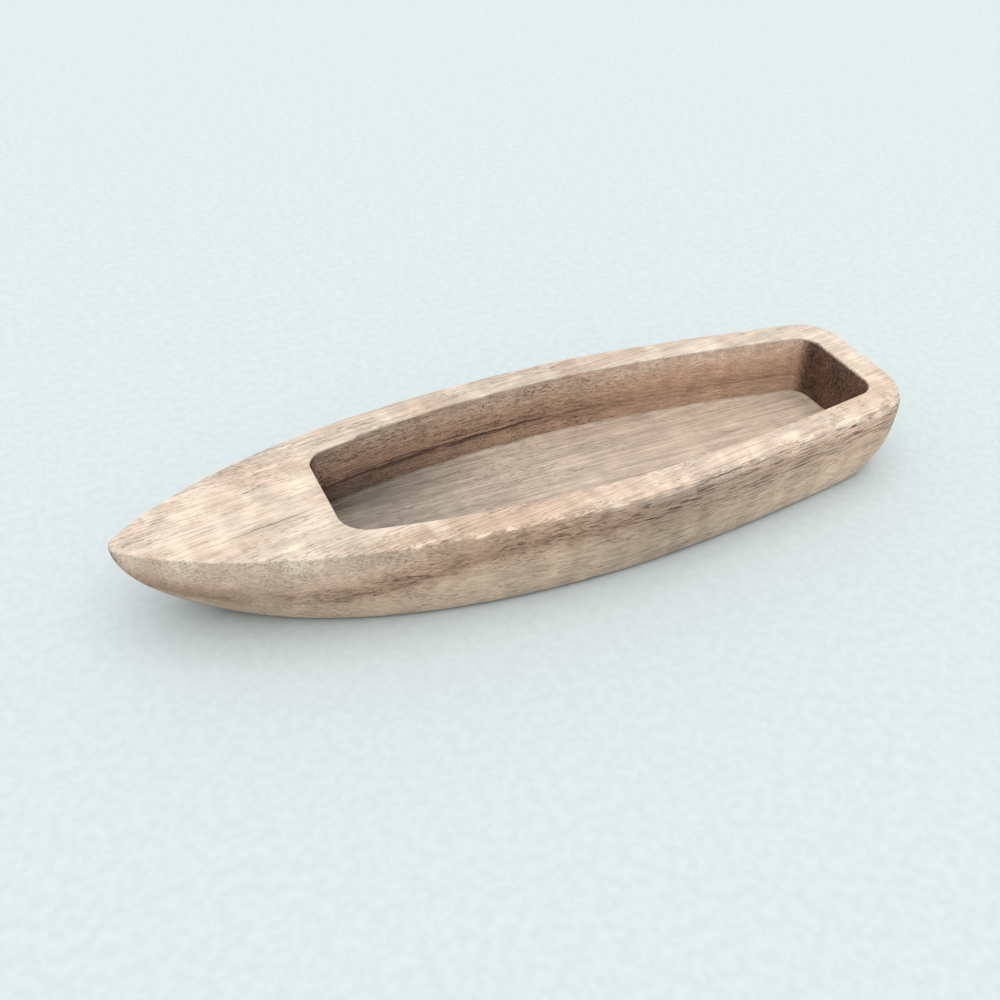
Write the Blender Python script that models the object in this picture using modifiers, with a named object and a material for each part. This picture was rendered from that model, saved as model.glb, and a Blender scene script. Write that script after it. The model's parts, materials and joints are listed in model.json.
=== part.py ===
"""A boat-shaped incense burner, carved from one block of pale walnut.

The block is sawn to the outline of a small boat, its sides are sanded so that they tuck in under the
deck, its stem is swept up like a forefoot, and a tray is routed into the deck to hold the incense and
its ash. It is one piece of wood: nothing is glued, screwed or hinged to it.

Axes: the bow points along -X, the stern along +X, the deck faces +Z. The origin is on the flat
underside, in the middle of the length and of the beam. Sizes below are in millimetres.
"""

import math

import bmesh
import bpy
import numpy as np

MM = 0.001

# Driving dimensions of the hull, at the deck unless a comment says otherwise.
LENGTH = 179.5            # nose to transom
BEAM = 55.0               # full width at the widest place
HEIGHT = 22.2             # table to deck
BEAM_STATION = 102.0      # nose to the widest place
TRANSOM_WIDTH = 36.7      # full width where the sides would meet the transom
TRANSOM_CORNER = 7.0      # radius of the two stern corners
NOSE_RADIUS = 3.0         # the blunted point of the bow
NOSE_ANGLE = 41.0         # degrees between each side and the centre line, at the nose
QUARTER_ANGLE = 11.6      # degrees by which each side runs in towards the transom

# How full the sides are: each is the length of a curve handle as a share of the span it belongs to.
NOSE_FULLNESS = 0.057
BOW_FULLNESS = 0.70
AFT_FULLNESS = 0.29
QUARTER_FULLNESS = 0.23

# The tuck of the sides, from just under the rounded deck edge down to the table.
SIDE_TUCK = 3.1           # how far the sides come in
STEM_RAKE = 19.3          # how far the stem runs aft
TRANSOM_RAKE = 2.4        # how far the transom runs forward
TUCK_CURVE = 2.2          # 1 is a straight side, more is a side that turns in late
STEM_CURVE = 1.8
TRANSOM_CURVE = 2.0
DECK_EDGE = 0.5           # sanded round along the deck
KEEL_EDGE = 1.6           # sanded round along the underside

# The tray routed into the deck.
FOREDECK = 43.0           # nose to the straight end of the tray
STERN_WALL = 6.8          # wood left behind the tray
RIM_FORWARD = 7.3         # wood left beside the tray at its bow end
RIM_AFT = 6.7             # wood left beside the tray at its stern end
FLOOR_THICKNESS = 6.3     # wood left under the tray
TRAY_BOW_CORNER = 3.7
TRAY_STERN_CORNER = 4.4
TRAY_COVE = 0.8           # round where the walls meet the floor

# How finely the curves are divided.
NOSE_STEPS = 5
BOW_STEPS = 22
AFT_STEPS = 14
CORNER_STEPS = 8
SIDE_STEPS = 5
EDGE_STEPS = 3
TRAY_STEPS = 34
CURVE_SAMPLES = 400
CUTTER_RISE = 4.0         # how far the cutter stands above the deck

WALNUT_COLOUR = (0.46, 0.33, 0.24, 1.0)
WALNUT_ROUGHNESS = 0.72


def clear_scene():
    """Remove whatever the file holds, so that only the burner is in it."""
    for item in list(bpy.data.objects):
        bpy.data.objects.remove(item, do_unlink=True)


def new_collection(name):
    collection = bpy.data.collections.new(name)
    bpy.context.scene.collection.children.link(collection)
    return collection


def walnut():
    """Bare walnut, sanded and left without varnish."""
    material = bpy.data.materials.new("walnut")
    material.use_nodes = True
    shader = material.node_tree.nodes["Principled BSDF"]
    shader.inputs["Base Color"].default_value = WALNUT_COLOUR
    shader.inputs["Roughness"].default_value = WALNUT_ROUGHNESS
    shader.inputs["Metallic"].default_value = 0.0
    return material


def curve_points(start, start_handle, end_handle, end, steps):
    """Points along one cubic curve from start to end."""
    t = np.linspace(0.0, 1.0, steps + 1)[:, None]
    weights = ((1 - t) ** 3, 3 * (1 - t) ** 2 * t, 3 * (1 - t) * t ** 2, t ** 3)
    handles = (start, start_handle, end_handle, end)
    return sum(weight * np.array(handle) for weight, handle in zip(weights, handles))


def half_outline(nose, stern, half_beam, half_transom, bow_steps, aft_steps):
    """One side of a boat from its nose to its transom, before the stern corner is rounded.

    x runs aft from the nose of the deck and y runs out from the centre line.
    """
    angle = math.radians(NOSE_ANGLE)
    turns = np.linspace(0.0, math.pi / 2 - angle, NOSE_STEPS + 1)[:-1]
    blunt = np.column_stack((nose + NOSE_RADIUS * (1 - np.cos(turns)), NOSE_RADIUS * np.sin(turns)))
    start = np.array((nose + NOSE_RADIUS * (1 - math.sin(angle)), NOSE_RADIUS * math.cos(angle)))
    widest = np.array((BEAM_STATION, half_beam))
    end = np.array((stern, half_transom))
    fore_span = BEAM_STATION - nose
    aft_span = stern - BEAM_STATION
    run_in = math.radians(QUARTER_ANGLE)
    bow = curve_points(
        start,
        start + NOSE_FULLNESS * fore_span * np.array((math.cos(angle), math.sin(angle))),
        widest - np.array((BOW_FULLNESS * fore_span, 0.0)),
        widest,
        bow_steps,
    )
    quarter = curve_points(
        widest,
        widest + np.array((AFT_FULLNESS * aft_span, 0.0)),
        end - QUARTER_FULLNESS * aft_span * np.array((math.cos(run_in), -math.sin(run_in))),
        end,
        aft_steps,
    )
    return np.vstack((blunt, bow, quarter[1:]))


def corner_drop(distance, radius):
    """How far a rounded corner falls inside the square one, at a distance from the end face."""
    inside = np.clip(radius - distance, 0.0, radius)
    return radius - np.sqrt(radius ** 2 - inside ** 2)


def hull_level(height):
    """The closed outline of the hull at one height above the table."""
    straight = HEIGHT - DECK_EDGE
    depth = max(0.0, straight - height) / straight
    edge = corner_drop(HEIGHT - height, DECK_EDGE) + corner_drop(height, KEEL_EDGE)
    nose = STEM_RAKE * depth ** STEM_CURVE + edge
    stern = LENGTH - TRANSOM_RAKE * depth ** TRANSOM_CURVE - edge
    tuck = SIDE_TUCK * depth ** TUCK_CURVE + edge
    side = half_outline(nose, stern, BEAM / 2 - tuck, TRANSOM_WIDTH / 2 - tuck, BOW_STEPS, AFT_STEPS)
    plain = side[side[:, 0] < BEAM_STATION]
    body_end = stern - TRANSOM_CORNER
    turns = np.linspace(0.0, math.pi / 2, CORNER_STEPS + 1)
    stations = np.concatenate((
        np.linspace(BEAM_STATION, body_end, AFT_STEPS, endpoint=False),
        body_end + TRANSOM_CORNER * np.sin(turns),
    ))
    widths = np.interp(stations, side[:, 0], side[:, 1])
    widths = widths - corner_drop(stern - stations, TRANSOM_CORNER)
    half = np.vstack((plain, np.column_stack((stations, widths))))
    mirrored = half[:0:-1] * (1, -1)
    return np.vstack((half, mirrored))


def level_heights():
    """Heights of the loft's levels: close together in the two rounds, even between them."""
    turns = np.linspace(0.0, math.pi / 2, EDGE_STEPS + 1)
    keel = KEEL_EDGE * (1 - np.cos(turns))
    deck = HEIGHT - DECK_EDGE * (1 - np.sin(turns))
    side = np.linspace(KEEL_EDGE, HEIGHT - DECK_EDGE, SIDE_STEPS + 1)[1:-1]
    return np.concatenate((keel, side, deck))


def to_frame(x, y, z):
    """From stations aft of the nose to the burner's own axes, in metres."""
    return ((x - LENGTH / 2) * MM, y * MM, z * MM)


def make_hull(collection, material):
    """A loft through outlines that change in length, width and rake from the table to the deck."""
    mesh = bmesh.new()
    rings = []
    for height in level_heights():
        outline = hull_level(height)
        rings.append([mesh.verts.new(to_frame(x, y, height)) for x, y in outline])
    for lower, upper in zip(rings, rings[1:]):
        for i in range(len(lower)):
            j = (i + 1) % len(lower)
            mesh.faces.new((lower[i], lower[j], upper[j], upper[i]))
    mesh.faces.new(rings[0])
    mesh.faces.new(rings[-1])
    bmesh.ops.recalc_face_normals(mesh, faces=mesh.faces)
    data = bpy.data.meshes.new("hull")
    mesh.to_mesh(data)
    mesh.free()
    data.shade_smooth()
    data.set_sharp_from_angle(angle=math.radians(35))
    data.materials.append(material)
    hull = bpy.data.objects.new("hull", data)
    collection.objects.link(hull)
    return hull


def tray_outline():
    """The closed outline of the tray: the hull's sides brought in by the rim, cut square at each end."""
    side = half_outline(0.0, LENGTH, BEAM / 2, TRANSOM_WIDTH / 2, CURVE_SAMPLES, CURVE_SAMPLES)
    aft_end = LENGTH - STERN_WALL
    along = np.gradient(side, axis=0)
    along /= np.linalg.norm(along, axis=1)[:, None]
    inward = np.column_stack((along[:, 1], -along[:, 0]))
    rim = np.interp(side[:, 0], (FOREDECK, aft_end), (RIM_FORWARD, RIM_AFT))
    wall = side + inward * rim[:, None]
    turns = np.linspace(0.0, math.pi / 2, CORNER_STEPS + 1)
    stations = np.concatenate((
        FOREDECK + TRAY_BOW_CORNER * (1 - np.cos(turns)),
        np.linspace(FOREDECK + TRAY_BOW_CORNER, aft_end - TRAY_STERN_CORNER, TRAY_STEPS + 1)[1:-1],
        aft_end - TRAY_STERN_CORNER * (1 - np.sin(turns)),
    ))
    widths = np.interp(stations, wall[:, 0], wall[:, 1])
    widths = widths - corner_drop(stations - FOREDECK, TRAY_BOW_CORNER)
    widths = widths - corner_drop(aft_end - stations, TRAY_STERN_CORNER)
    half = np.column_stack((stations, widths))
    return np.vstack((half, half[::-1] * (1, -1)))


def make_tray_cutter(collection):
    """The space that the router clears: a flat outline, as deep as the tray and a little proud."""
    top = HEIGHT + CUTTER_RISE
    outline = tray_outline()
    flat = bpy.data.curves.new("tray_outline", "CURVE")
    flat.dimensions = "2D"
    flat.fill_mode = "BOTH"
    flat.extrude = (top - FLOOR_THICKNESS) / 2 * MM
    spline = flat.splines.new("POLY")
    spline.points.add(len(outline) - 1)
    for point, (x, y) in zip(spline.points, outline):
        point.co = (*to_frame(x, y, 0.0), 1.0)
    spline.use_cyclic_u = True
    drawn = bpy.data.objects.new("tray_outline", flat)
    drawn.location.z = (top + FLOOR_THICKNESS) / 2 * MM
    collection.objects.link(drawn)
    bpy.context.view_layer.update()
    evaluated = drawn.evaluated_get(bpy.context.evaluated_depsgraph_get())
    data = bpy.data.meshes.new_from_object(evaluated)
    solid = bmesh.new()
    solid.from_mesh(data)
    bmesh.ops.remove_doubles(solid, verts=solid.verts, dist=1e-6)
    bmesh.ops.dissolve_limit(solid, angle_limit=math.radians(0.5), verts=solid.verts, edges=solid.edges)
    bmesh.ops.recalc_face_normals(solid, faces=solid.faces)
    solid.to_mesh(data)
    solid.free()
    cutter = bpy.data.objects.new("tray_cutter", data)
    cutter.matrix_world = drawn.matrix_world.copy()
    collection.objects.link(cutter)
    bpy.data.objects.remove(drawn, do_unlink=True)
    cove = cutter.modifiers.new("cove", "BEVEL")
    cove.width = TRAY_COVE * MM
    cove.segments = 2
    cove.limit_method = "ANGLE"
    cove.angle_limit = math.radians(60)
    cutter.hide_render = True
    cutter.display_type = "WIRE"
    return cutter


def cut(body, cutter):
    boolean = body.modifiers.new("tray", "BOOLEAN")
    boolean.operation = "DIFFERENCE"
    boolean.solver = "EXACT"
    boolean.object = cutter


def main():
    clear_scene()
    parts = new_collection("incense_burner")
    cutters = new_collection("cutters")
    hull = make_hull(parts, walnut())
    cut(hull, make_tray_cutter(cutters))


main()
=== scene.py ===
# %% [markdown]
# A boat-shaped incense burner, carved from one block of pale walnut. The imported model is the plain
# solid: it fixes where everything is and how big it is. This script loads it, and then makes the
# surface that a hand would feel: soft sanded edges, router marks in the tray, and the grain.

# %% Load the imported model
import json
import math

import bmesh
import bpy
import numpy as np
from mathutils import Matrix, Vector, noise


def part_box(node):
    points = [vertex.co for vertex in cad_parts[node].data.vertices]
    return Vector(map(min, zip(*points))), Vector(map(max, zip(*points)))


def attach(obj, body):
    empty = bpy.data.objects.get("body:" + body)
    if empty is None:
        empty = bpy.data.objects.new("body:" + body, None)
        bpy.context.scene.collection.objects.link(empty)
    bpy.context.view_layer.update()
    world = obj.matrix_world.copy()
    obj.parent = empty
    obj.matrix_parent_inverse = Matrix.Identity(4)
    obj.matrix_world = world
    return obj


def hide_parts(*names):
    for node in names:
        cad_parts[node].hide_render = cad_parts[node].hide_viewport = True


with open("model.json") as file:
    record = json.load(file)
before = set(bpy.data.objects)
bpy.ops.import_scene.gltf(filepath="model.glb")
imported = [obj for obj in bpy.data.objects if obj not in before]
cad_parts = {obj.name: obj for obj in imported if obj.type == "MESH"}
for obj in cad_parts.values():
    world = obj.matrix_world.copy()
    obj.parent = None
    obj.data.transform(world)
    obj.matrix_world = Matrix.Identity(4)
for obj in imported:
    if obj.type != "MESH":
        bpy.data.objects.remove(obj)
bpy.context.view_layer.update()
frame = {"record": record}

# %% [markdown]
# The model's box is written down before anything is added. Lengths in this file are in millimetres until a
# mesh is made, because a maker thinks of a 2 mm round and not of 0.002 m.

MM = 0.001
low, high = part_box("hull")
LENGTH, BEAM, HEIGHT = [(b - a) / MM for a, b in zip(low, high)]
print(f"hull: {LENGTH:.1f} mm long, {BEAM:.1f} mm wide, {HEIGHT:.1f} mm high")

# %% [markdown]
# The camera comes first, because every later choice is judged through it. It stands to the left of
# the bow and looks down on the deck from a little under 40 degrees, as someone does who has just set
# the burner down on a bench in front of them. A camera could be turned with Euler angles, but a
# matrix made from three directions is easier to reason about: back towards the viewer, right, and up.

# %% Set up the camera
VIEW_AZIMUTH = -25.1      # degrees round from the boat's side, towards the bow
VIEW_ELEVATION = 38.0     # degrees above the table
VIEW_ROLL = 1.0           # the small tilt of a camera held in the hand
VIEW_DISTANCE = 232.3     # from the lens to the point that it looks at
VIEW_POINT = (-15.1, -16.7, HEIGHT)
FOCAL_SHARE = 1.15        # focal length as a share of the width of the film


def aim_camera(camera):
    """Place the camera on its sight line and tilt it."""
    around, above = math.radians(VIEW_AZIMUTH), math.radians(VIEW_ELEVATION)
    level = Vector((math.sin(around), -math.cos(around), 0.0))
    back = level * math.cos(above) + Vector((0.0, 0.0, math.sin(above)))
    right = Vector((math.cos(around), math.sin(around), 0.0))
    turn = Matrix((right, back.cross(right), back)).transposed().to_4x4()
    roll = Matrix.Rotation(math.radians(VIEW_ROLL), 4, "Z")
    place = (Vector(VIEW_POINT) + back * VIEW_DISTANCE) * MM
    camera.matrix_world = Matrix.Translation(place) @ turn @ roll


lens = bpy.data.cameras.new("bench_camera")
lens.sensor_width = 36.0
lens.lens = FOCAL_SHARE * lens.sensor_width
lens.clip_start = 0.01
camera = bpy.data.objects.new("bench_camera", lens)
bpy.context.scene.collection.objects.link(camera)
aim_camera(camera)
bpy.context.scene.camera = camera
print("camera at", [round(c, 3) for c in camera.matrix_world.translation])

# %% [markdown]
# The hull's outline is drawn once and used at every height. It is a boat's half breadth: a blunt
# nose, a full bow, the widest place a little aft of the middle, and a side that runs in towards a
# square transom. Two cubic curves draw it with four handles, which is how a boatbuilder's batten
# behaves: it goes through few points and fairs itself between them.

# %% Draw one side of the boat
BEAM_STATION = 102.0      # nose to the widest place
TRANSOM_WIDTH = 36.7      # where the sides would meet the transom
TRANSOM_CORNER = 7.0      # radius where a side meets the transom
NOSE_RADIUS = 3.0
NOSE_ANGLE = math.radians(41.0)                       # half the angle of the bow, at the nose
QUARTER_ANGLE = math.radians(11.6)                    # how sharply a side runs in at the stern
NOSE_FULLNESS, BOW_FULLNESS = 0.057, 0.70
AFT_FULLNESS, QUARTER_FULLNESS = 0.29, 0.23


def batten(start, start_handle, end_handle, end, steps=400):
    """Points along one cubic curve."""
    t = np.linspace(0.0, 1.0, steps)[:, None]
    weights = ((1 - t) ** 3, 3 * (1 - t) ** 2 * t, 3 * (1 - t) * t ** 2, t ** 3)
    return sum(w * np.array(h) for w, h in zip(weights, (start, start_handle, end_handle, end)))


def boat_side(nose, stern, half_beam, half_transom):
    """Half breadths from the nose to the transom, before the stern corner is rounded."""
    turns = np.linspace(0.0, math.pi / 2 - NOSE_ANGLE, 24)[:-1]
    blunt = np.column_stack((nose + NOSE_RADIUS * (1 - np.cos(turns)), NOSE_RADIUS * np.sin(turns)))
    start = np.array((nose, 0.0)) + NOSE_RADIUS * np.array((1 - math.sin(NOSE_ANGLE), math.cos(NOSE_ANGLE)))
    widest, end = np.array((BEAM_STATION, half_beam)), np.array((stern, half_transom))
    fore, aft = BEAM_STATION - nose, stern - BEAM_STATION
    out_of_nose = NOSE_FULLNESS * fore * np.array((math.cos(NOSE_ANGLE), math.sin(NOSE_ANGLE)))
    into_transom = QUARTER_FULLNESS * aft * np.array((math.cos(QUARTER_ANGLE), -math.sin(QUARTER_ANGLE)))
    bow = batten(start, start + out_of_nose, widest - (BOW_FULLNESS * fore, 0), widest)
    quarter = batten(widest, widest + (AFT_FULLNESS * aft, 0), end - into_transom, end)
    return np.vstack((blunt, bow, quarter[1:]))


def corner_drop(distance, radius):
    """How far a rounded corner falls inside the square one, at a distance from the end face."""
    inside = np.clip(radius - distance, 0.0, radius)
    return radius - np.sqrt(radius ** 2 - inside ** 2)


deck_side = boat_side(0.0, LENGTH, BEAM / 2, TRANSOM_WIDTH / 2)
print(f"{len(deck_side)} points draw one side; its widest half breadth is {deck_side[:, 1].max():.2f} mm")

# %% [markdown]
# The surface is built as a stack of closed rings that all have the same number of points: across the
# underside, round its edge, up the side, round the deck's edge, across the deck to the tray, down
# the tray's wall and over its floor. Joining each ring to the next gives an even skin of quads.
# Boolean cuts would give the same shape with ragged triangles at every edge, and a voxel remesh
# would blur the edges. With rings, each round has its own radius, and the points sit where the
# detail is. First a helper spreads points along any half outline, with a fixed count in each stretch.

# %% Spread a ring's points
BOW_COUNT, SIDE_COUNT, STERN_COUNT = 110, 400, 80     # points in each half ring
FOREDECK = 43.0           # nose to the tray
STERN_WALL = 6.8          # wood behind the tray
RIM_FORWARD, RIM_AFT = 7.3, 6.7                       # wood beside the tray
TRAY_STERN_CORNER = 4.4
FAR_BOW_CORNER, NEAR_BOW_CORNER = 3.7, 5.0            # the router cut one corner wider


def spread(outline, first_break, second_break):
    """Points along an outline whose stretches end at two stations aft of the nose."""
    along = np.concatenate(([0.0], np.cumsum(np.hypot(*np.diff(outline, axis=0).T))))
    last_side = np.argmax(outline[:, 0] >= second_break)
    first = np.interp(first_break, outline[:last_side, 0], along[:last_side])
    second = along[last_side]
    marks = np.concatenate((
        np.linspace(0.0, first, BOW_COUNT, endpoint=False),
        np.linspace(first, second, SIDE_COUNT, endpoint=False),
        np.linspace(second, along[-1], STERN_COUNT),
    ))
    stations, widths = (np.interp(marks, along, row) for row in outline.T)
    return np.column_stack((stations, widths))


def closed(far_half, near_half):
    """A whole ring from its two halves, which share their first and last points."""
    return np.vstack((far_half, near_half[-2:0:-1] * (1, -1)))


tray_end = LENGTH - STERN_WALL
side_starts = FOREDECK + FAR_BOW_CORNER
side_ends = tray_end - TRAY_STERN_CORNER
print(f"tray: {tray_end - FOREDECK:.1f} mm long")

# %% [markdown]
# Below the deck each outline gets a little shorter and narrower. The sides tuck in, the stem runs
# aft in one sweep like a forefoot, and the transom leans forward. All three follow a power of the
# depth, so the hull stays nearly straight under the deck and turns in late, near the table.

# %% Outlines of the hull at each height
SIDE_TUCK, STEM_RAKE, TRANSOM_RAKE = 3.1, 19.3, 2.4
TUCK_CURVE, STEM_CURVE, TRANSOM_CURVE = 2.2, 1.8, 2.0
DECK_EDGE = 0.5           # sanded round along the deck
KEEL_EDGE = 1.6           # sanded round along the underside


def hull_ring(height, inset):
    """The ring at one height, brought in by a rounded edge's inset."""
    straight = HEIGHT - DECK_EDGE
    depth = max(0.0, straight - height) / straight
    nose = STEM_RAKE * depth ** STEM_CURVE + inset
    stern = LENGTH - TRANSOM_RAKE * depth ** TRANSOM_CURVE - inset
    tuck = SIDE_TUCK * depth ** TUCK_CURVE + inset
    side = boat_side(nose, stern, BEAM / 2 - tuck, TRANSOM_WIDTH / 2 - tuck)
    turns = np.linspace(0.0, math.pi / 2, 60)
    body_end = stern - TRANSOM_CORNER
    stations = np.concatenate((side[side[:, 0] < body_end, 0], body_end + TRANSOM_CORNER * np.sin(turns)))
    widths = np.interp(stations, side[:, 0], side[:, 1]) - corner_drop(stern - stations, TRANSOM_CORNER)
    half = np.vstack((np.column_stack((stations, widths)), (stern, 0.0)))
    half = spread(half, side_starts, min(side_ends, stern - TRANSOM_CORNER))
    return closed(half, half)


print("underside is", round(float(np.ptp(hull_ring(0.0, KEEL_EDGE)[:, 0])), 1), "mm long")

# %% [markdown]
# The tray's wall follows the hull's side, a rim's width in. A router guided along a template leaves
# small signs of the hand: near the bow one pass stopped short and left a step in the far rim, and
# the near corner came out wider than the far one. Those are drawn here, in the outline itself, so
# that they cast real shadows. The step dies out a few millimetres down the wall.

# %% Outline of the tray
STEP_STATION = 55.3       # where the short pass ended, aft of the nose
STEP_WIDTH = 0.7
STEP_LENGTH = 1.6
STEP_DEPTH = 6.0          # how far down the wall it can be seen


def tray_half(bow_corner, step, grow):
    """One half of the tray's outline, widened everywhere by grow."""
    along = np.gradient(deck_side, axis=0)
    along /= np.linalg.norm(along, axis=1)[:, None]
    inward = np.column_stack((along[:, 1], -along[:, 0]))
    rim = np.interp(deck_side[:, 0], (FOREDECK, tray_end), (RIM_FORWARD, RIM_AFT)) - grow
    wall = deck_side + inward * rim[:, None]
    bow, stern = FOREDECK - grow, tray_end + grow
    turns = np.linspace(0.0, math.pi / 2, 40)
    bow_end, stern_start = bow + bow_corner, stern - TRAY_STERN_CORNER
    stations = np.concatenate((
        bow_end - bow_corner * np.cos(turns),
        np.linspace(bow_end, stern_start, 700)[1:-1],
        stern_start + TRAY_STERN_CORNER * np.sin(turns),
    ))
    widths = np.interp(stations, wall[:, 0], wall[:, 1])
    widths = widths - corner_drop(stations - bow, bow_corner)
    widths = widths - corner_drop(stern - stations, TRAY_STERN_CORNER)
    widths = widths - step / (1 + np.exp((stations - STEP_STATION) / (STEP_LENGTH / 6)))
    half = np.vstack(((bow, 0.0), np.column_stack((stations, widths)), (stern, 0.0)))
    return spread(half, bow_end, stern_start)


def tray_ring(grow=0.0, step_share=0.0):
    """The tray's whole outline: only the far half has the step."""
    far_half = tray_half(FAR_BOW_CORNER, STEP_WIDTH * step_share, grow)
    return closed(far_half, tray_half(NEAR_BOW_CORNER, 0.0, grow))


print("tray is", round(float(np.ptp(tray_ring()[:, 1])), 1), "mm wide inside")

# %% [markdown]
# Now the stack itself. Each entry is a ring and a height. The wall is not one drop: the router took
# the tray down in two passes, and the second left a fine ledge all the way round.

# %% Stack the rings up to the deck
FLOOR = frame["record"]["mounts"][1]["pos_m"][2] / MM
TRAY_EDGE = 0.35          # broken with sandpaper
TRAY_COVE = 0.8           # round where the wall meets the floor
PASS_HEIGHT = 11.0        # where the second pass of the router began
PASS_LEDGE = 0.03         # how far it stopped short of the first
stack, belongs = [], []


def add_ring(ring, height, where):
    """Put one ring on the stack, and note which part of the boat it belongs to."""
    stack.append(np.column_stack((ring, np.full(len(ring), height))))
    belongs.append(where)


def quarter_turn(steps):
    """Angles from 0 to 90 degrees, for a rounded edge."""
    return np.linspace(0.0, math.pi / 2, steps)


def towards_spine(ring, share):
    """A ring drawn in towards the centre line, where its two halves meet at a share of 1."""
    other_half = np.roll(ring[::-1], 1, axis=0)
    middle = (ring[:, 0] + other_half[:, 0]) / 2
    reach = np.abs(ring[:, 1]).max() * 0.5
    spine = np.clip(middle, ring[:, 0].min() + reach, ring[:, 0].max() - reach)
    return np.column_stack((ring[:, 0] * (1 - share) + spine * share, ring[:, 1] * (1 - share)))


underside = hull_ring(0.0, KEEL_EDGE)
for share in np.linspace(1.0, 0.0, 14)[:-1]:
    add_ring(towards_spine(underside, share), 0.0, "underside")
for turn in quarter_turn(8):
    height = KEEL_EDGE * (1 - math.cos(turn))
    add_ring(hull_ring(height, KEEL_EDGE * (1 - math.sin(turn))), height, "side")
for height in np.linspace(KEEL_EDGE, HEIGHT - DECK_EDGE, 46)[1:-1]:
    add_ring(hull_ring(height, 0.0), height, "side")
for turn in quarter_turn(9):
    height = HEIGHT - DECK_EDGE * (1 - math.sin(turn))
    add_ring(hull_ring(height, DECK_EDGE * (1 - math.cos(turn))), height, "side")
print(len(stack), "rings up to the deck")

# %% [markdown]
# The stack goes on without a break: over the deck, round the tray's edge, down its wall, round the
# cove that the router's tip leaves, and over the floor to the centre line. The deck's rings are
# blends between the hull's outline and the tray's, so its quads never cross the tray's edge.

# %% Carry the stack over the deck and down into the tray
STEP_FADE = 1.5                                       # above 1, the step dies out quickly at first
LEDGE_ROUND = ((0.08, 0.3), (0.0, 0.8), (-0.12, 1.0))  # height from the pass, share of the ledge
deck_ring = hull_ring(HEIGHT, DECK_EDGE)
mouth = tray_ring(TRAY_EDGE, 1.0)
for share in np.linspace(0.0, 1.0, 26)[1:-1]:
    add_ring(deck_ring * (1 - share) + mouth * share, HEIGHT, "deck")
for turn in quarter_turn(6):
    height = HEIGHT - TRAY_EDGE * (1 - math.cos(turn))
    add_ring(tray_ring(TRAY_EDGE * (1 - math.sin(turn)), 1.0), height, "deck")
for height in np.linspace(HEIGHT - TRAY_EDGE, PASS_HEIGHT + 0.2, 26)[1:]:
    left = max(0.0, 1 - (HEIGHT - TRAY_EDGE - height) / STEP_DEPTH)
    add_ring(tray_ring(0.0, left ** STEP_FADE), height, "wall")
for rise_above, share in LEDGE_ROUND:
    add_ring(tray_ring(-PASS_LEDGE * share), PASS_HEIGHT + rise_above, "wall")
for height in np.linspace(PASS_HEIGHT + LEDGE_ROUND[-1][0], FLOOR + TRAY_COVE, 12)[1:]:
    add_ring(tray_ring(-PASS_LEDGE), height, "wall")
for turn in quarter_turn(6)[1:]:
    shrink = PASS_LEDGE + TRAY_COVE * (1 - math.cos(turn))
    add_ring(tray_ring(-shrink), FLOOR + TRAY_COVE * (1 - math.sin(turn)), "floor")
tray_floor = stack[-1][:, :2]
for share in np.linspace(0.0, 1.0, 40)[1:]:
    add_ring(towards_spine(tray_floor, share), FLOOR, "floor")
points = np.array(stack)
points[:, :, 0] -= LENGTH / 2
print(points.shape[0], "rings of", points.shape[1], "points")

# %% [markdown]
# Each point carries a few numbers that the later steps will need: whether it is on the tray's wall
# or on its floor, and how far it is from the deck's outer edge, where hands and sandpaper wear the
# wood. Blender keeps such numbers with the mesh as attributes, and a finish can read them.

# %% Note where each ring belongs
FAR_AWAY = 50.0
belongs = np.array(belongs)
every_point = np.ones(points.shape[:2])
on_wall = every_point * (belongs == "wall")[:, None]
on_floor = every_point * (belongs == "floor")[:, None]
from_edge = every_point * FAR_AWAY
sides, deck = belongs == "side", belongs == "deck"
from_edge[sides] = HEIGHT - points[sides, :, 2]
across = points[deck] - points[np.flatnonzero(sides)[-1]]
from_edge[deck] = np.hypot(across[..., 0], across[..., 1])
notes = {"wall": on_wall, "floor": on_floor, "from_edge": from_edge}
print({name: int((belongs == name).sum()) for name in np.unique(belongs)})

# %% [markdown]
# Nothing that a hand has sanded is even, so the marks of wear need soft random heights. Blender's
# noise gives the same height at the same place on every run, unlike random numbers, and stretching
# the place first makes the marks long in one direction. A smooth step turns a mark on or off along
# the boat without a line where it starts.

# %% Soft random heights and smooth steps
FULL_SWING = 1.4          # brings the noise, which seldom passes 0.7, close to 1


def unevenness(where, grain, seed):
    """Soft random heights between about -1 and 1, with a grain size in each direction."""
    scaled = where.reshape(-1, 3) / np.array(grain) + seed
    heights = np.array([noise.noise(Vector(spot)) for spot in scaled.tolist()])
    return FULL_SWING * heights.reshape(where.shape[:-1])


def rise(values, start, full):
    """0 up to start, 1 from full on, and smooth between."""
    t = np.clip((values - start) / (full - start), 0.0, 1.0)
    return t * t * (3 - 2 * t)


print("noise at the nose:", round(float(unevenness(points[0, :1], (9, 9, 9), 1.3)[0]), 2))

# %% [markdown]
# A deck edge does not stay crisp. Hands rub it round, most on the near side aft, where a thumb picks
# the boat up, and the near stern corner has been knocked. That wear is bigger than the edge's own
# half millimetre round, so moving each point along its own normal would fold the skin over itself.
# Instead all the points of one stretch of edge are pushed the same way, inwards and down. First the
# way out of the boat is worked out, at each place round the edge.

# %% Which way is outwards
edge_line = points[np.flatnonzero(sides)[-1]]
next_one, one_before = np.roll(edge_line, -1, axis=0), np.roll(edge_line, 1, axis=0)
outward = np.cross(next_one - one_before, (0.0, 0.0, 1.0))
outward *= np.sign((outward * edge_line).sum(axis=1))[:, None]
outward /= np.maximum(np.linalg.norm(outward, axis=1), 1e-9)[:, None]
print("at the nose, outwards is", outward[0].round(2))

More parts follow.
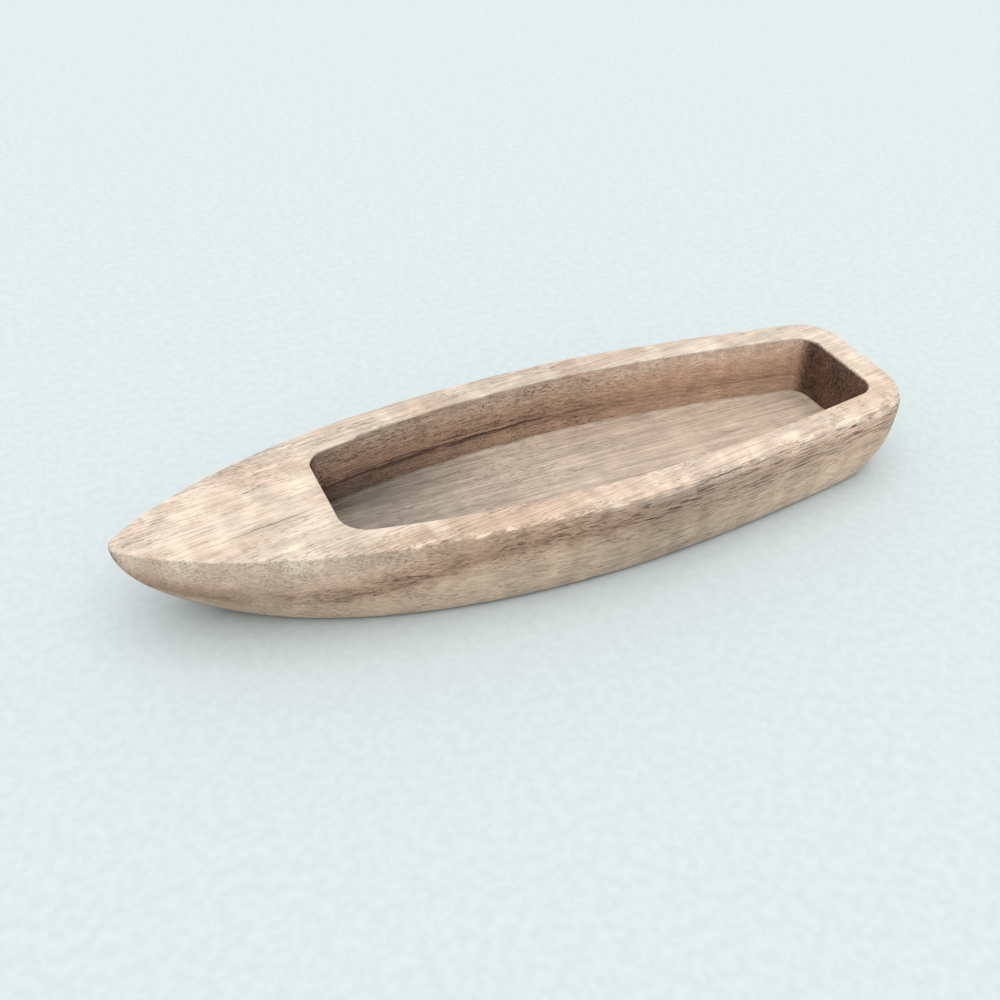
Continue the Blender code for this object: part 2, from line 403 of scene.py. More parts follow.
# %% [markdown]
# The rub is strongest on the edge and dies away within a few millimetres of it. Along the near side it
# follows the grip: it starts amidships, is full half way aft, and weakens at the stern. The knock on
# the corner reaches deeper near the table, where the boat was set down on it. Here x and y count from
# the middle of the boat, so the bow is at -x and the near side at -y.

# %% Wear the deck's edge
EDGE_WEAR, GRIP_WEAR = 0.10, 1.25
EDGE_REACH, GRIP_REACH = 0.6, 1.9                     # how far the rub spreads from the edge
CORNER_X, CORNER_Y, CORNER_LEAN, CORNER_REACH = 88.0, -16.0, 0.11, 5.5
TOP_KNOCK, LOW_KNOCK = 0.20, 1.4                      # the near stern corner, at the deck and the table

x, y, z = np.moveaxis(points, 2, 0)
grip = rise(-y, 8.0, 16.0) * rise(x, 2.0, 44.0) * (1 - 0.45 * rise(x, 66.0, 86.0))
rub = EDGE_WEAR * (1 + 0.8 * unevenness(points, (9, 40, 40), 7.7))
rub = rub + GRIP_WEAR * grip * (1 + 0.30 * unevenness(points, (6, 12, 12), 1.3))
rub = rub * np.exp(-(from_edge / (EDGE_REACH + GRIP_REACH * grip)) ** 2)
outside = (on_wall + on_floor) == 0
lean = CORNER_LEAN * (HEIGHT - z)
from_corner = np.hypot(x - CORNER_X + lean, y - CORNER_Y - lean) / CORNER_REACH
knock = TOP_KNOCK * np.exp(-(from_edge / 5.0) ** 2) + LOW_KNOCK * rise(-z, -10.0, 0.0)
knock = knock * np.exp(-from_corner ** 2) * outside
points[..., :2] -= (rub / math.sqrt(2) + knock)[..., None] * outward[None, :, :2]
points[..., 2] -= rub / math.sqrt(2)
print(f"the edge lost up to {rub.max():.2f} mm and the corner {knock.max():.2f} mm")

# %% [markdown]
# Joining the rings is one loop. The innermost rings of the underside and of the floor lie folded on
# the centre line, so their two halves are welded, and the skin is closed.

# %% Join the rings into one closed skin
def skin(grid, name):
    """A closed mesh from a grid of rings, welded where a ring is folded flat."""
    rings, around = grid.shape[:2]
    index = np.arange(rings * around).reshape(rings, around)
    ahead = np.roll(index, -1, axis=1)
    quads = np.stack((index[:-1], ahead[:-1], ahead[1:], index[1:]), axis=-1).reshape(-1, 4)
    data = bpy.data.meshes.new(name)
    data.from_pydata((grid.reshape(-1, 3) * MM).tolist(), [], quads.tolist())
    for note, values in notes.items():
        data.attributes.new(note, "FLOAT", "POINT").data.foreach_set("value", values.ravel())
    work = bmesh.new()
    work.from_mesh(data)
    bmesh.ops.remove_doubles(work, verts=work.verts, dist=1e-7)
    bmesh.ops.dissolve_degenerate(work, edges=work.edges, dist=1e-7)
    bmesh.ops.recalc_face_normals(work, faces=work.faces)
    work.to_mesh(data)
    print("open edges in the skin:", sum(edge.is_boundary for edge in work.edges))
    work.free()
    data.shade_smooth()
    piece = bpy.data.objects.new(name, data)
    bpy.context.scene.collection.objects.link(piece)
    return piece


boat = skin(points, "carved_hull")
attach(boat, "root")
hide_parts("hull")
print("the skin has", len(boat.data.vertices), "points and", len(boat.data.polygons), "faces")

# %% [markdown]
# The finer marks are small enough to move each point along its own normal. Blender worked the normals
# out when it joined the skin, and welding changed the count of points, so places, normals and notes
# are all read back from the mesh.

# %% Read the skin back
def read(data, name, width=1):
    """One named number, or a row of them, for each item."""
    values = np.empty(len(data) * width, dtype=np.float32)
    data.foreach_get(name, values)
    return values.reshape(-1, width) if width > 1 else values


mesh = boat.data
spots = read(mesh.vertices, "co", 3) / MM
normals = read(mesh.vertices, "normal", 3)
wall_share = read(mesh.attributes["wall"].data, "value")
floor_share = read(mesh.attributes["floor"].data, "value")
edge_distance = read(mesh.attributes["from_edge"].data, "value")
print("read", len(spots), "points")

# %% [markdown]
# A sanded block is never as true as its drawing. Sanding leaves the sides swaying by a tenth of a
# millimetre. The deck's edge has lost a few long splinters. A bump map could fake these, but real
# relief changes the outline and catches the light.

# %% Sway and chips
SWAY, CHIP_DEPTH, CHIP_REACH = 0.10, 0.30, 0.8
x, y, z = spots.T
sway = SWAY * unevenness(spots, (34, 30, 18), 3.1) * rise(z, 0.6, 4.0) * (1 - floor_share)
chippy = 0.1 + 0.9 * rise(-y, 8.0, 16.0) * rise(x, -50.0, -34.0)
chipped = rise(unevenness(spots, (2.4, 1.0, 0.9), 11.9), 0.12, 0.50) * chippy
chips = CHIP_DEPTH * chipped * np.exp(-(edge_distance / CHIP_REACH) ** 2)
print(f"chips are up to {chips.max():.2f} mm deep")

# %% [markdown]
# The router chattered as it ran along the tray's long walls. It left ripples a millimetre and a half
# apart above the line where the second pass began, clearest a little forward of the middle. Its
# cutter also tore the wall slightly everywhere. All the fine marks are then applied in one move.

# %% Chatter on the tray's walls
CHATTER_DEPTH, CHATTER_PITCH, CHATTER_WANDER = 0.04, 1.4, 1.6
TEAR_DEPTH = 0.04
busy = 0.3 + 0.7 * rise(x, -20.0, -14.0) * rise(-x, 0.0, 6.0)
swing = 2 * math.pi * x / CHATTER_PITCH + CHATTER_WANDER * unevenness(spots, (6, 50, 14), 5.2)
long_wall = wall_share * rise(np.abs(normals[:, 1]), 0.7, 0.95) * rise(z, PASS_HEIGHT, PASS_HEIGHT + 1.0)
chatter = CHATTER_DEPTH * np.sin(swing) * busy * long_wall
chatter += TEAR_DEPTH * wall_share * unevenness(spots, (2.2, 2.2, 1.0), 9.4)
shift = sway - chips + chatter
mesh.vertices.foreach_set("co", ((spots + normals * shift[:, None]) * MM).astype(np.float32).ravel())
mesh.update()
print(f"the surface moved by {shift.min():.2f} to {shift.max():.2f} mm")

# %% [markdown]
# The finish will need two more notes. Where a surface faces along the boat, the fibres end in it. And
# where a splinter came off, the fresh wood is pale. Both are worked out here, because a finish can't
# tell the direction of the grain or the depth of a chip by itself.

# %% Note the end grain and the chips for the finish
end_grain = rise(np.abs(normals[:, 0]), 0.50, 0.97) * (1 - floor_share)
for note, values in (("end_grain", end_grain), ("chip", chips / CHIP_DEPTH)):
    mesh.attributes.new(note, "FLOAT", "POINT").data.foreach_set("value", values.astype(np.float32))
print(f"end grain on {100 * (end_grain > 0.5).mean():.0f} % of the points")

# %% [markdown]
# Now the wood. Walnut could be a picture wrapped round the boat, but then the grain on the side
# would not meet the grain on the deck. Real grain runs through the block, so this finish is worked
# out in three dimensions, from each point's place in the block. A few small helpers keep the wiring
# readable: each makes one node, feeds it and hands back its output.

# %% Helpers for wiring the finish
walnut = bpy.data.materials.new("walnut")
walnut.use_nodes = True
tree = walnut.node_tree


def node(kind, feeds, **settings):
    """One node, with each named socket set to a value or linked to another node's output."""
    made = tree.nodes.new(kind)
    for name, value in settings.items():
        setattr(made, name, value)
    for socket, value in feeds.items():
        if isinstance(value, bpy.types.NodeSocket):
            tree.links.new(value, made.inputs[socket])
        else:
            made.inputs[socket].default_value = value
    return made


def calc(operation, *values):
    """One step of arithmetic."""
    return node("ShaderNodeMath", dict(enumerate(values)), operation=operation).outputs[0]


def times(*values):
    """All the values multiplied together."""
    product = values[0]
    for value in values[1:]:
        product = calc("MULTIPLY", product, value)
    return product


def plus(*values):
    """All the values added up."""
    total = values[0]
    for value in values[1:]:
        total = calc("ADD", total, value)
    return total


def touched(share, change):
    """A brightness of 1 where share is 0, which changes to 1 + change where share is 1."""
    return plus(1.0, times(share, change))


print("calc, times, plus and touched do arithmetic on whole surfaces")

# %% [markdown]
# The next helpers make patterns. `cloud` is soft noise in a stretched copy of the block, and `cells`
# is the distance to the nearest of many scattered points. Both take how many marks there are to the
# millimetre along the boat, across it and upwards, so 0.1, 2, 2 makes marks ten millimetres long and
# half a millimetre thick. A pattern inside the block needs no unwrapping and has no seams.

# %% Helpers for patterns
def stretched(vector, along, across, up):
    """A copy of the block's coordinates, stretched in each direction."""
    feeds = {0: vector, 1: (along, across, up)}
    return node("ShaderNodeVectorMath", feeds, operation="MULTIPLY").outputs[0]


def cloud(vector, along, across, up, detail=2.0):
    """Soft noise from 0 to 1."""
    feeds = {"Vector": stretched(vector, along, across, up), "Scale": 1.0, "Detail": detail}
    return node("ShaderNodeTexNoise", feeds).outputs[0]


def cells(vector, along, across, up):
    """Distance to the nearest scattered point."""
    feeds = {"Vector": stretched(vector, along, across, up), "Scale": 1.0}
    return node("ShaderNodeTexVoronoi", feeds).outputs["Distance"]


print("clouds and cells fill the whole block")

# %% [markdown]
# The last helpers shape a pattern. `between` is the smooth step again: it gives the first value up to
# the low end, the last value from the high end on, and eases over from one to the other. `near` is 1
# on a line and falls to 0 at a given distance from it. `blend` and `shaded` do to a colour what a
# second coat and a shadow do to paint.

# %% Helpers for steps and colours
def between(value, low, high, first=0.0, last=1.0):
    """A smooth step from first to last, as the value goes from low to high."""
    feeds = {"Value": value, "From Min": low, "From Max": high, "To Min": first, "To Max": last}
    return node("ShaderNodeMapRange", feeds, interpolation_type="SMOOTHSTEP").outputs[0]


def near(value, centre, reach):
    """1 where the value is at the centre, and 0 from the reach on, to either side."""
    distance = calc("ABSOLUTE", calc("SUBTRACT", value, centre))
    return between(distance, 0.0, reach, 1.0, 0.0)


def blend(share, under, over):
    """One colour laid over another, as thickly as the share says."""
    feeds = {0: share, 6: under, 7: over}
    return node("ShaderNodeMix", feeds, data_type="RGBA").outputs[2]


def shaded(colour, brightness):
    """A colour made darker or lighter."""
    return node("ShaderNodeVectorMath", {0: colour, "Scale": brightness}, operation="SCALE").outputs[0]


def noted(name):
    """One of the numbers that the mesh carries at each point."""
    return node("ShaderNodeAttribute", {}, attribute_name=name).outputs["Fac"]


print("between and near turn a place on the boat into a share")

# %% [markdown]
# Now the finish can ask where it is. X, Y and Z are the place in the block, in millimetres, counted
# from the middle of the underside, so the bow lies towards -X and the near side towards -Y. The notes
# that the mesh carries say what kind of surface it is on.

# %% Where in the block, and on what surface
block = stretched(node("ShaderNodeTexCoord", {}).outputs["Object"], 1 / MM, 1 / MM, 1 / MM)
X, Y, Z = node("ShaderNodeSeparateXYZ", {0: block}).outputs
wall, floor, ends, chip = noted("wall"), noted("floor"), noted("end_grain"), noted("chip")
print("X, Y and Z are millimetres in the block")

# %% [markdown]
# The block was sawn nearly flat, so its growth layers lie almost level, with a slight tilt from side
# to side. That one fact explains the figure. The deck and the tray's floor graze the layers and show
# broad soft patches. The sides and the tray's walls cut through them and show streaks. A point's
# height among the layers is its height in the block plus the tilt, plus a slow waviness and a quick
# flutter. On the near side of the bow the layers dip.

# %% Height among the growth layers
LAYER_TILT = 0.107        # mm up for each mm across
BOW_DIP = 7.0
WAVE_HEIGHT, FLUTTER_HEIGHT = 2.6, 1.7
waviness = times(plus(cloud(block, 0.014, 0.03, 0.03), -0.5), WAVE_HEIGHT)
flutter = times(plus(cloud(block, 0.07, 0.40, 0.40, 3.0), -0.5), FLUTTER_HEIGHT)
dip = times(between(X, -62.0, -14.0, BOW_DIP, 0.0), between(Y, -20.0, 4.0, 1.0, 0.0))
layer = plus(times(Y, LAYER_TILT), Z, waviness, flutter, dip)
print("layers tilt by", LAYER_TILT, "mm for each mm across")

# %% [markdown]
# One dark growth line runs through the whole block, a little above the middle. On the near side it
# climbs from low in the bow to just under the deck, and inside the tray it comes out half way up the
# far wall. Brown wood lies over it and fades upwards into the pale deck, and the wood under it is a
# greyer beige. A colour ramp over the height among the layers says all of that at once.

# %% Colour by layer
LOWEST, HIGHEST = -4.0, 28.0
layer_colours = (
    (-4.0, (0.500, 0.385, 0.295)),
    (4.0, (0.540, 0.410, 0.300)),
    (9.5, (0.530, 0.390, 0.280)),
    (12.0, (0.460, 0.320, 0.222)),
    (13.2, (0.330, 0.210, 0.142)),
    (14.4, (0.385, 0.250, 0.168)),
    (17.0, (0.440, 0.295, 0.203)),
    (19.6, (0.490, 0.355, 0.258)),
    (22.0, (0.525, 0.420, 0.330)),
    (24.0, (0.525, 0.432, 0.345)),
    (28.0, (0.475, 0.372, 0.288)),
)
place_in_block = calc("DIVIDE", plus(layer, -LOWEST), HIGHEST - LOWEST)
ramp = node("ShaderNodeValToRGB", {0: place_in_block})
stops = ramp.color_ramp.elements
stops.remove(stops[1])
stops[0].color = (*layer_colours[0][1], 1.0)
for height, colour in layer_colours[1:]:
    stop = stops.new((height - LOWEST) / (HIGHEST - LOWEST))
    stop.color = (*colour, 1.0)
wood = ramp.outputs[0]
print(len(layer_colours), "colours from the keel to the deck")

# %% [markdown]
# Most of the marks that follow belong to one part of the boat: its near side, its near rim, or the
# ends where the fibres are cut across. These parts are named once, as masks. A mask is 1 inside its
# part and fades to 0 outside, over a few millimetres or more, because a hard edge in the colour of
# wood looks painted on. The aft part of the near side also weakens towards the keel.

# %% Parts of the boat
below_deck = between(Z, HEIGHT - 1.6, HEIGHT - 0.4, 1.0, 0.0)
near_side = times(between(Y, -14.0, -9.0, 1.0, 0.0), below_deck)
aft_side = times(near_side, between(X, -5.0, 20.0), between(Z, 8.0, 17.0, 0.30, 1.0))
bow_side = times(below_deck, between(X, -58.0, -30.0, 1.0, 0.0), between(layer, 16.0, 20.0))
near_rim = between(Y, -20.0, -16.0, 1.0, 0.0)
upper = times(between(layer, 16.0, 21.0), between(Z, 17.0, 21.0))
inside_end = times(ends, wall)
outside_end = times(ends, touched(wall, -1.0))
print(len(tree.nodes), "nodes so far")

# %% [markdown]
# No block is one even colour. Over the layers lie broad patches: tan on the near side, brown and then
# pale along the near rim, rose and cream on the deck. They are laid on in turn, like washes of thin
# colour, each one over the ones before it.

# %% Broad patches
CREAM, ROSE = (0.620, 0.530, 0.415, 1.0), (0.490, 0.360, 0.272, 1.0)
SIDE_TAN, RIM_BROWN = (0.520, 0.382, 0.285, 1.0), (0.370, 0.255, 0.175, 1.0)
RIM_PALE = (0.560, 0.468, 0.382, 1.0)

washes = (
    (SIDE_TAN, near_side, between(X, -2.0, 34.0, 0.0, 0.80), near(layer, 13.6, 5.0)),
    (SIDE_TAN, near_side, between(X, -64.0, -42.0, 0.65, 0.0), near(layer, 13.8, 5.5)),
    (SIDE_TAN, bow_side, 0.75),
    (RIM_BROWN, near_rim, near(X, -33.0, 24.0), between(Z, 18.0, 20.0, 0.0, 0.75)),
    (RIM_PALE, near_rim, between(X, 0.0, 20.0), between(Z, 18.0, 20.5, 0.0, 0.55)),
    (ROSE, upper, between(cloud(block, 0.06, 0.13, 0.03, 3.0), 0.48, 0.66, 0.0, 0.70)),
    (CREAM, upper, between(cloud(block, 0.15, 0.10, 0.03, 3.0), 0.50, 0.68, 0.0, 0.65)),
)
for colour, *shares in washes:
    wood = blend(times(*shares), wood, colour)
print(len(washes), "washes of colour")

# %% [markdown]
# Across the grain the wood has another figure: soft bands of light and shade that a maker calls
# curl. The fibres bend slightly there, and some of them end at the surface. It is drawn twice, as
# broad bands everywhere and as closer ripples on the near side.

# %% Curl
curl = between(cloud(block, 0.20, 0.07, 0.09, 3.0), 0.30, 0.70, 0.92, 1.07)
ripples = between(cloud(block, 0.26, 0.07, 0.10, 2.0), 0.35, 0.65, 0.92, 1.06)
ripple_share = times(between(X, -25.0, 15.0), between(Y, -22.0, -14.0, 1.0, 0.0))
figure = times(curl, touched(ripple_share, plus(ripples, -1.0)))
print("curl changes the brightness by up to a tenth")

# %% [markdown]
# The fibres run along the boat, but not quite straight. At the deck they wander a little to one side
# as they run aft, and at the tray's floor they run true. A sheared copy of the block follows them,
# and the pores and streaks are drawn in that copy.

# %% Direction of the fibres
GRAIN_DRIFT = 0.14        # mm sideways for each mm along, at the deck
drift = times(X, GRAIN_DRIFT, between(Z, 7.5, 19.0))
grain = node("ShaderNodeCombineXYZ", {0: X, 1: plus(Y, times(drift, -1.0)), 2: Z}).outputs[0]
fibres = between(cloud(grain, 0.06, 2.4, 2.4, 4.0), 0.25, 0.75, 0.80, 1.18)
print("fibres wander", GRAIN_DRIFT, "mm for each mm along")

# %% [markdown]
# Walnut is full of long open pores. Along the grain they are dark dashes a few millimetres long, and
# across it they are dots. They could be drawn as lines on one face and dots on another, but if they
# are stretched cells inside the block, then both come by themselves. Three sizes lie over each other,
# crowded in some places and sparse in others, and crowded most on the tray's rough walls.

# %% Pores
long_pores = between(cells(grain, 0.13, 1.60, 1.60), 0.08, 0.22, 1.0, 0.0)
open_pores = between(cells(grain, 0.34, 2.60, 2.60), 0.14, 0.34, 1.0, 0.0)
fine_pores = between(cells(grain, 0.80, 4.60, 4.60), 0.15, 0.40, 1.0, 0.0)
crowding = between(cloud(block, 0.07, 0.25, 0.25, 3.0), 0.38, 0.62, 0.25, 1.0)
crowding = plus(crowding, times(wall, 0.6))
pores = times(plus(times(long_pores, 0.7), times(open_pores, 0.7), times(fine_pores, 0.4)), crowding)
print("open pores are about 1.5 mm long and 0.2 mm wide")

# %% [markdown]
# Bigger than the pores are streaks and dashes of dark wood. They gather round the growth line and on
# the near side aft, and fine lines run close under the near edge there. The router tore the tray's
# wall where it cut against the grain, and left it dotted, most at the bow end.

# %% Streaks, dashes and torn dots
dark_zones = between(cloud(block, 0.045, 0.22, 0.22, 3.0), 0.36, 0.60, 0.25, 1.0)
vein_zone = times(near(layer, 15.0, 6.0), dark_zones, between(X, -66.0, -44.0, 0.45, 1.0))
vein_zone = times(vein_zone, touched(wall, -0.55))
streaks = between(cloud(grain, 0.035, 1.1, 1.1, 4.0), 0.51, 0.62)
streaks = times(streaks, plus(0.05, times(vein_zone, 0.34)))
dashes = between(cloud(grain, 0.16, 2.2, 2.2, 3.0), 0.53, 0.64)
dashes = times(dashes, plus(0.15, times(vein_zone, 0.28), times(aft_side, 0.34)))
dots = between(cells(block, 1.15, 1.55, 1.55), 0.16, 0.38, 1.0, 0.0)
dots = times(dots, wall, between(cloud(block, 0.11, 0.3, 0.22, 3.0), 0.36, 0.62, 0.15, 1.0))
dots = times(dots, between(X, -10.0, 40.0, 0.60, 0.16))
edge_lines = times(between(cloud(block, 0.05, 0.0, 2.4, 2.0), 0.56, 0.66), near(Z, 19.2, 3.2))
edge_lines = times(edge_lines, aft_side, 0.40)
dark_marks = plus(streaks, dashes, dots, edge_lines)
print(len(tree.nodes), "nodes so far")

# %% [markdown]
# All of that turns into one brightness for the grain. The near side is a little darker aft of the
# middle, and lighter at the stern and high on the bow. Aft, everything but the near side and its rim
# is calmer: the marks there are fainter.

# %% Light and shade of the grain
mottle = plus(1.0, times(plus(cloud(block, 0.15, 0.45, 0.45, 3.0), -0.5), 0.45))
side_dark = times(near_side, near(X, 20.0, 36.0), -0.20)
side_pale = times(near_side, between(X, 50.0, 72.0), 0.20)
side_light = times(plus(1.0, side_dark, side_pale), touched(bow_side, 0.12))
calm = touched(times(between(X, 15.0, 55.0, 0.0, 0.45), between(Y, -17.0, -13.0)), -1.0)
dark_marks = times(dark_marks, calm)
pores = times(pores, calm)
grain_shade = times(fibres, mottle, side_light, touched(dark_marks, -1.0), touched(pores, -0.50))
print(len(tree.nodes), "nodes so far")

# %% [markdown]
# The inside of the tray has its own story. Its wall is browner than the sides. Where the router's
# second pass began it scorched a broken line, worst near the bow, with a few dark veins over it. The
# line wavers, because the wood moved a little under the machine.

# %% Scorch marks on the tray's wall
WALL_BROWN, SCORCH = (0.345, 0.212, 0.140, 1.0), (0.105, 0.062, 0.045, 1.0)
waver = times(plus(cloud(block, 0.09, 0.02, 0.02, 3.0), -0.5), 2.2)
broken = between(cloud(grain, 0.10, 1.2, 1.2), 0.28, 0.50)
scorch_line = times(wall, near(plus(Z, waver), PASS_HEIGHT + 0.5, 0.85), broken)
scorch_line = times(scorch_line, between(X, -20.0, 45.0, 1.7, 0.25))
dark_veins = between(cloud(block, 0.03, 0.2, 1.5, 3.0), 0.44, 0.54)
dark_veins = times(wall, near(Z, PASS_HEIGHT + 1.8, 3.0), dark_veins, between(X, -20.0, 30.0, 0.80, 0.15))
wood = blend(times(wall, between(Z, PASS_HEIGHT, PASS_HEIGHT + 8.0, 0.60, 0.40)), wood, WALL_BROWN)
wood = blend(calc("MAXIMUM", scorch_line, dark_veins), wood, SCORCH)
print("scorched most near the bow")

# %% [markdown]
# Ash is the other mark. It leaves a grey film on the floor, thickest at the bow end, where the stick
# stands. The fibres show through it as long soft lines, and one broader band runs along the far side
# of the floor, aft of the middle.

# %% Ash on the tray's floor
ASH = (0.300, 0.270, 0.235, 1.0)
wood = blend(times(floor, between(X, -45.0, 40.0, 0.65, 0.45)), wood, ASH)
floor_lines = plus(between(cloud(block, 0.045, 0.8, 0.0, 4.0), 0.32, 0.66, 0.87, 1.08), -1.0)
floor_band = times(near(Y, 11.5, 2.0), between(X, -4.0, 4.0), between(X, 48.0, 56.0, 1.0, 0.0))
floor_marks = times(touched(times(floor, floor_band), -0.14), touched(floor, floor_lines))
print("ash is thickest at the bow end")

# %% [markdown]
# Last, the tray is shaded. The far wall is darkest at the bow and paler aft, and below the router's second
# pass it is darker, most at the bow. Painted shade darkens the corner at the bow end and the crease along
# the wall's foot, and a painted shadow of the far wall lies on the floor beside it. This painted shade is
# laid on top of what the lamp and the sky give.

# %% Painted shade and darkening in the tray
wall_light = plus(between(X, -46.0, 60.0, 0.98, 1.34), -1.0)
floor_light = plus(between(X, -48.0, 14.0, 0.62, 1.03), -1.0)
below_pass = times(wall, between(Z, PASS_HEIGHT - 0.5, PASS_HEIGHT + 0.2, 1.0, 0.0))
below_pass = times(below_pass, between(X, -42.0, 6.0, 0.54, 0.12), touched(ends, -0.7))
# Painted shade in the corner at the bow end of the tray.
bow_corner = times(wall, near(X, -47.0, 8.0), 0.30)
# Painted shade in the crease where the wall meets the floor, darkest at the bow.
painted_cove_shade = times(wall, between(Z, FLOOR, FLOOR + 2.6, 0.28, 0.0), between(X, -44.0, 10.0, 1.5, 0.8))
# A painted shadow of the far wall on the floor beside its foot, darkest at the bow.
painted_foot_shadow = times(floor, between(Y, 7.5, 14.5), between(X, -38.0, 0.0, 0.46, 0.0))
bow_end_wall = times(inside_end, between(X, -42.0, -36.0, 1.0, 0.0))
# The painted shade at the wall's foot is weaker on the bow end wall. The lower wall's darkening is joined
# with the painted corner shade.
painted_low_shade = times(plus(painted_cove_shade, painted_foot_shadow), touched(bow_end_wall, -0.75))
wall_darkening_and_corner_shade = plus(1.0, times(below_pass, -1.0), times(bow_corner, -1.0))
tray_shade = plus(1.0, times(wall, wall_light), times(floor, floor_light))
tray_shade = times(tray_shade, wall_darkening_and_corner_shade, floor_marks, touched(painted_low_shade, -1.0))
print("the wall is rubbed dark below", PASS_HEIGHT, "mm")

# %% [markdown]
# Where the saw or the router cut straight across the fibres, light falls into their open ends and
# the wood looks much darker. That is the stern wall of the tray most of all. Each kind of end grain
# has its own darkness and its own speckle, because the transom was sanded and the tray's walls were
# not.

# %% End grain
END_BROWN = (0.168, 0.082, 0.048, 1.0)
INSIDE_DARK, OUTSIDE_DARK = -0.64, -0.30
wood = blend(times(inside_end, 0.80), wood, END_BROWN)
end_shade = plus(1.0, times(inside_end, INSIDE_DARK), times(outside_end, OUTSIDE_DARK))
worn_patch = between(cloud(block, 0.10, 0.13, 0.16, 2.0), 0.35, 0.65, -0.18, 0.22)
speckle = between(cloud(block, 0.5, 1.9, 1.3, 5.0), 0.30, 0.70, -0.50, 0.66)
speckle = times(speckle, plus(0.60, times(wall, 0.40)))
end_specks = touched(ends, plus(speckle, worn_patch, times(open_pores, -0.3)))
far_rim = touched(times(between(Y, 12.0, 18.0), between(Z, 20.0, HEIGHT - 0.4)), -0.10)
print("end grain is darkest inside the tray")

# %% [markdown]
# Old wood opens along its fibres. The foredeck has one hairline check, and the near edge a longer
# split close under the deck. Each is a thin band round a line that wavers as it runs aft. The noise
# that bends a line depends on the place along the boat and on nothing else, so that the line can't
# fold back on itself. Where splinters came off the near edge, the torn fibres are pale.

# %% A check in the deck and a split edge
CHECK_LEAN, CHECK_PLACE, CHECK_WIDTH = -0.157, 3.5, 0.17
SPLIT_LEAN, SPLIT_PLACE, SPLIT_WIDTH = -0.04, 19.3, 0.22
TORN_FIBRE = (0.640, 0.520, 0.410, 1.0)
check_line = plus(times(X, CHECK_LEAN), Y, times(plus(cloud(block, 0.25, 0.0, 0.0, 3.0), -0.5), 1.2))
check = times(near(check_line, CHECK_PLACE, CHECK_WIDTH), near(X, -60.0, 15.5), between(Z, 20.5, 21.5))
split_line = plus(times(X, SPLIT_LEAN), Z, times(plus(cloud(block, 0.22, 0.0, 0.0, 3.0), -0.5), 1.6))
split = times(near(split_line, SPLIT_PLACE, SPLIT_WIDTH), near(X, 33.0, 14.0))
split = times(split, between(Y, -22.0, -18.0, 1.0, 0.0))
cracks = calc("MAXIMUM", times(check, 0.75), times(split, 0.9))
wood = blend(times(chip, 0.75), wood, TORN_FIBRE)
shade = times(figure, grain_shade, tray_shade, end_shade, end_specks, far_rim, touched(cracks, -0.75))
wood = shaded(wood, shade)
print("the deck has one check and the near edge one split")

# %% [markdown]
# The shader takes three things from the wood: its colour, its roughness and its bump. The surface
# was sanded and left bare, so it is matt, a little smoother on the fibres than in the pores. The
# bump holds only what is too fine for the mesh: pores, fibres and cracks.

# %% Feed the shader
PORE_DEPTH = 0.12         # how deep the bump is taken to be
FIBRE_ROUGHNESS, PORE_ROUGHNESS = 0.62, 0.85
shader = tree.nodes["Principled BSDF"]
rough = between(pores, 0.0, 1.0, FIBRE_ROUGHNESS, PORE_ROUGHNESS)
relief = plus(times(pores, -1.0), times(fibres, 0.8), times(cracks, -2.0))
bump = node("ShaderNodeBump", {"Height": relief, "Distance": PORE_DEPTH * MM, "Strength": 1.0})
tree.links.new(wood, shader.inputs["Base Color"])
tree.links.new(rough, shader.inputs["Roughness"])
tree.links.new(bump.outputs[0], shader.inputs["Normal"])
shader.inputs["Specular IOR Level"].default_value = 0.25
boat.data.materials.append(walnut)
print(len(tree.nodes), "nodes make the walnut")

# %% [markdown]
# The burner stands on a plain pale table. Its colour is a very light grey, broken only by a faint
# cloudiness, so that it reads as a surface and does not draw the eye from the wood.

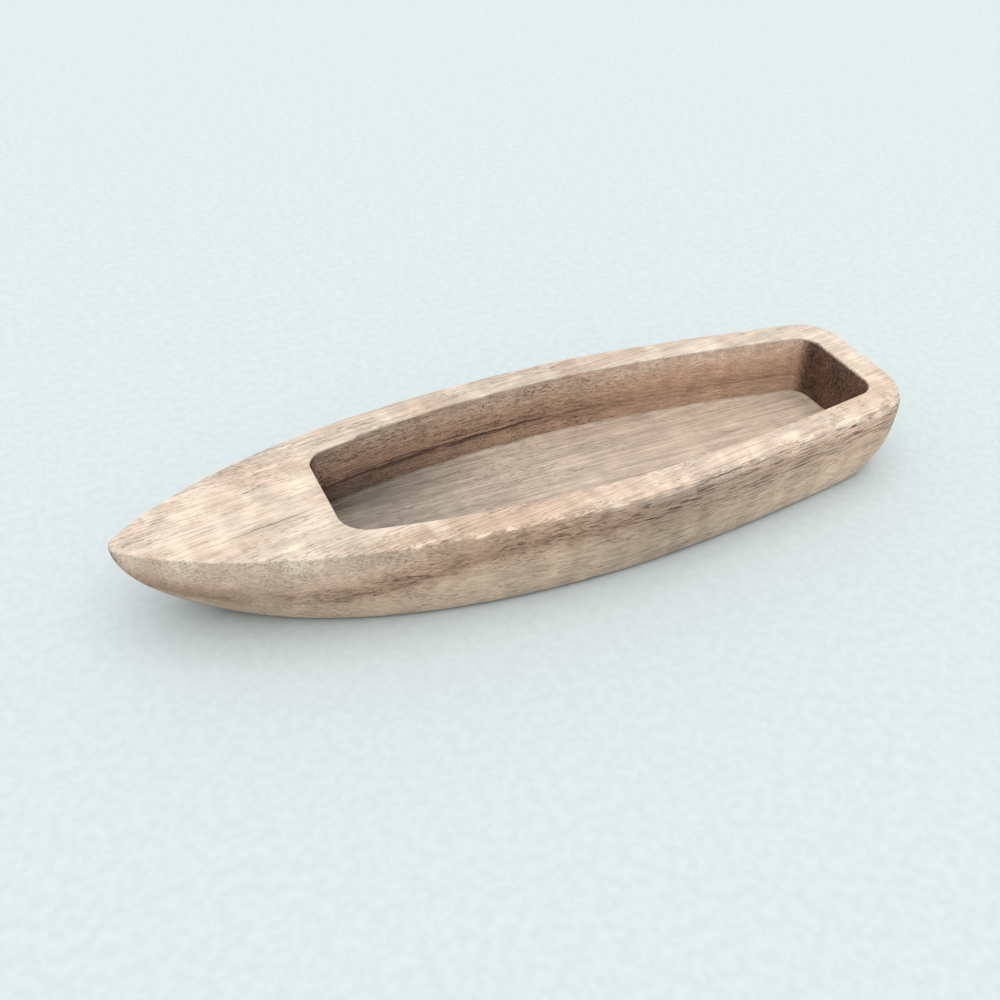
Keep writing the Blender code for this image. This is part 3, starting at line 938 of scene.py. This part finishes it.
# %% The table
TABLE_PALE, TABLE_SHADE = (0.452, 0.495, 0.491, 1.0), (0.428, 0.470, 0.465, 1.0)
TABLE_SIZE = 60.0         # metres, so that its far edge lies on the horizon
TABLE_GAP = 0.05          # just under the boat, because two faces in one plane flicker
TABLE_GRAIN = 450.0       # clouds to the metre
bpy.ops.mesh.primitive_plane_add(size=TABLE_SIZE)
table = bpy.context.object
table.name = "table"
stone = bpy.data.materials.new("table_grey")
stone.use_nodes = True
tree = stone.node_tree
surface = node("ShaderNodeTexCoord", {}).outputs["Object"]
fine = cloud(surface, TABLE_GRAIN, TABLE_GRAIN, TABLE_GRAIN, 4.0)
stone_shader = tree.nodes["Principled BSDF"]
tree.links.new(blend(between(fine, 0.35, 0.65), TABLE_SHADE, TABLE_PALE), stone_shader.inputs["Base Color"])
stone_shader.inputs["Roughness"].default_value = 0.8
stone_shader.inputs["Specular IOR Level"].default_value = 0.4
table.data.materials.append(stone)
table.location.z = -TABLE_GAP * MM
print("table top at z =", table.location.z)

# %% [markdown]
# The light is that of a bright overcast day: a pale sky all round, and a brighter part of the sky
# overhead, a little to the viewer's side. That part is a sun lamp with a very wide angle. A lamp
# near the boat would light the table unevenly, and a small one would draw hard edges that bare wood
# under an open sky never shows. The colours are shown as they are, without a film look, so that the
# wood's own palette can be judged.

# %% The light
SKY_COLOUR, SKY_STRENGTH = (0.94, 0.97, 1.0, 1.0), 1.05
GLOW_STRENGTH, GLOW_ANGLE = 2.35, math.radians(70.0)
GLOW_FROM = Vector((0.0, -0.22, 0.93))                # a direction, from the boat to the lamp
bpy.context.scene.view_settings.view_transform = "Standard"
sky = bpy.data.worlds.new("overcast_sky")
sky.use_nodes = True
sky.node_tree.nodes["Background"].inputs["Color"].default_value = SKY_COLOUR
sky.node_tree.nodes["Background"].inputs["Strength"].default_value = SKY_STRENGTH
bpy.context.scene.world = sky
glow = bpy.data.lights.new("bright_cloud", "SUN")
glow.energy = GLOW_STRENGTH
glow.angle = GLOW_ANGLE
cloud_lamp = bpy.data.objects.new("bright_cloud", glow)
cloud_lamp.location = GLOW_FROM
cloud_lamp.rotation_euler = GLOW_FROM.to_track_quat("Z", "Y").to_euler()
bpy.context.scene.collection.objects.link(cloud_lamp)
print("bright cloud", round(math.degrees(GLOW_ANGLE)), "degrees wide")
